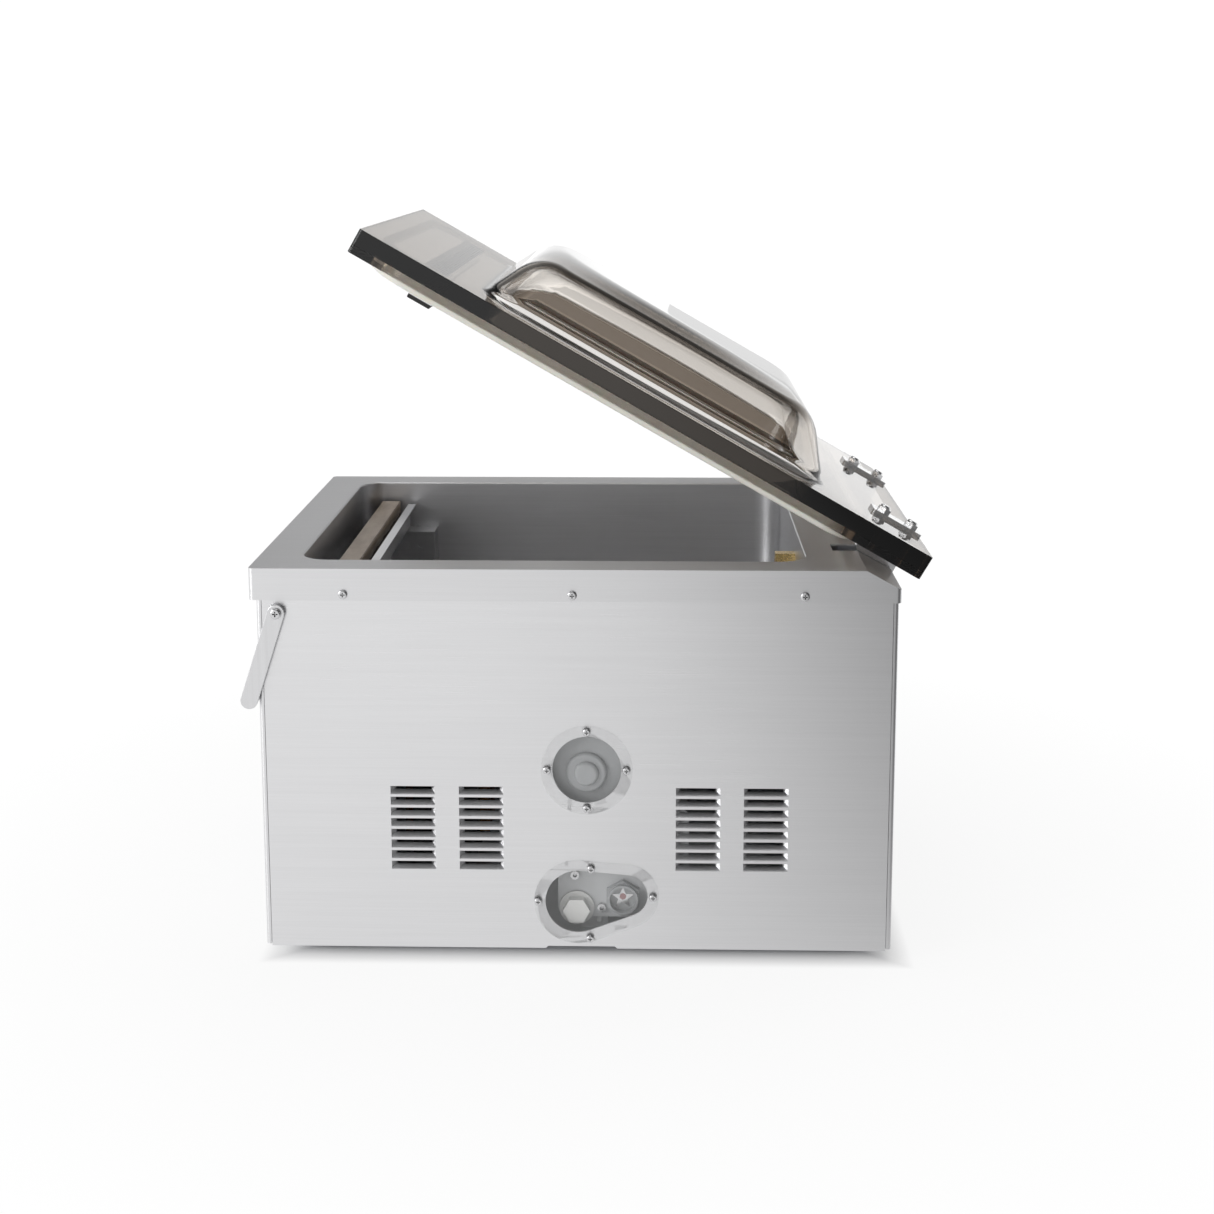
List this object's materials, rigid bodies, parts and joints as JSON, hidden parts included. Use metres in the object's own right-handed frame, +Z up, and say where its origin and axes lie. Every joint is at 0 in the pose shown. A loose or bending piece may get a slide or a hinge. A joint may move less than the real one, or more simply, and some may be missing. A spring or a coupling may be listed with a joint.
{
  "type": "vacuum sealer",
  "caption": "Tabletop chamber vacuum sealer: stainless cabinet, hinged smoked acrylic lid with dome, lifting sealing bar, pump inside and a swing-over lid bail.",
  "frame": {"origin": "on the table, under the middle of the bounding box with the lid open", "axes": "+Z up, front towards -Y, operator's right towards +X"},
  "size_m": [0.4392, 0.596, 0.6456],
  "materials": {
    "stainless": "brushed stainless sheet",
    "stainless_tub": "satin stainless sheet",
    "zinc_steel": "zinc plated steel",
    "polished_steel": "polished",
    "smoked_acrylic": "tinted clear acrylic, polished",
    "clear_plastic": "clear polycarbonate",
    "silicone_clear": "translucent silicone",
    "black_rubber": "matt rubber",
    "ptfe_cloth": "PTFE coated glass cloth",
    "phenolic": "phenolic laminate",
    "aluminium": "extruded, anodised",
    "brass": "turned",
    "pump_grey": "enamel",
    "motor_dark": "enamel",
    "black_plastic": "moulded",
    "grey_plastic": "moulded",
    "overlay_blue": "printed membrane, no text",
    "key_grey": "moulded",
    "display_dark": "tinted window",
    "board_green": "lacquered board",
    "dial_white": "printed dial, no text",
    "needle_black": "matt",
    "copper": "enamelled copper wire",
    "core_steel": "lacquered laminations",
    "nichrome": "resistance strip",
    "rubber_hose": "reinforced hose"
  },
  "bodies": {
    "body": {"base_pan": "zinc_steel", "feet": "black_rubber", "foot_bolts": "zinc_steel", "front_panel": "stainless", "rear_panel": "stainless", "side_panel_left": "stainless", "side_panel_right": "stainless", "chamber_deck": "stainless", "flange_screws": "polished_steel", "chamber_tub": "stainless_tub", "suction_port": "brass", "sight_windows": "clear_plastic", "window_screws": "polished_steel", "control_overlay": "overlay_blue", "display_window": "display_dark", "control_board": "board_green", "gauge_cup": "polished_steel", "gauge_lens": "clear_plastic", "gauge_dial": "dial_white", "switch_case": "black_plastic", "power_inlet": "black_plastic", "inlet_pins": "polished_steel", "pump_body": "pump_grey", "exhaust_filter": "grey_plastic", "oil_plug": "black_plastic", "oil_eye_bezel": "black_plastic", "oil_eye_star": "polished_steel", "oil_eye_glass": "clear_plastic", "cover_screws": "polished_steel", "pump_motor": "motor_dark", "motor_cowl": "black_plastic", "terminal_box": "black_plastic", "suction_hose": "rubber_hose", "vent_valve": "brass", "transformer_core": "core_steel", "transformer_coil": "copper", "lift_cylinders": "aluminium", "bar_brackets": "stainless", "hinge_brackets": "zinc_steel", "hinge_shafts": "polished_steel", "bail_pivots": "polished_steel"},
    "lid": {"lid": "smoked_acrylic", "lid_gasket": "silicone_clear", "counter_holder": "aluminium", "counter_pad": "black_rubber", "hinge_arms": "polished_steel", "clamp_plates": "polished_steel", "lid_bolts": "polished_steel"},
    "sealing_bar": {"seal_carrier": "stainless", "seal_bar": "phenolic", "heating_strip": "nichrome", "seal_tape": "ptfe_cloth"},
    "bail": {"bail_levers": "polished_steel", "bail_rod": "polished_steel"},
    "gauge_pointer": {"gauge_needle": "needle_black"},
    "power_rocker": {"switch_rocker": "black_plastic"},
    "button_1": {"key_1": "key_grey"},
    "button_2": {"key_2": "key_grey"},
    "button_3": {"key_3": "key_grey"},
    "button_4": {"key_4": "key_grey"}
  },
  "joints": [
    {"name": "lid_hinge", "type": "hinge", "parent": "body", "child": "lid", "pos_m": [0, 0.25558, 0.322], "axis": [-1, 0, 0], "range_deg": [-30, 0], "stiffness_Nm_per_rad": 20, "springref_deg": 45.84},
    {"name": "bail_swing", "type": "hinge", "parent": "body", "child": "bail", "pos_m": [0, -0.26492, 0.3173], "axis": [-1, 0, 0], "range_deg": [0, 188]},
    {"name": "bar_lift", "type": "slide", "parent": "body", "child": "sealing_bar", "axis": [0, 0, 1], "range_m": [0, 0.007]},
    {"name": "gauge_turn", "type": "hinge", "parent": "body", "child": "gauge_pointer", "pos_m": [-0.14, -0.27892, 0.172], "axis": [0, 1, 0], "range_deg": [0, 270], "stiffness_Nm_per_rad": 0.0004},
    {"name": "power_switch", "type": "hinge", "parent": "body", "child": "power_rocker", "pos_m": [0.158, -0.27992, 0.172], "axis": [-1, 0, 0], "range_deg": [0, 13]},
    {"name": "button_1_press", "type": "slide", "parent": "body", "child": "button_1", "axis": [0, 1, 0], "range_m": [0, 0.0015], "stiffness_N_per_m": 400, "springref_m": -0.001},
    {"name": "button_2_press", "type": "slide", "parent": "body", "child": "button_2", "axis": [0, 1, 0], "range_m": [0, 0.0015], "stiffness_N_per_m": 400, "springref_m": -0.001},
    {"name": "button_3_press", "type": "slide", "parent": "body", "child": "button_3", "axis": [0, 1, 0], "range_m": [0, 0.0015], "stiffness_N_per_m": 400, "springref_m": -0.001},
    {"name": "button_4_press", "type": "slide", "parent": "body", "child": "button_4", "axis": [0, 1, 0], "range_m": [0, 0.0015], "stiffness_N_per_m": 400, "springref_m": -0.001}
  ]
}
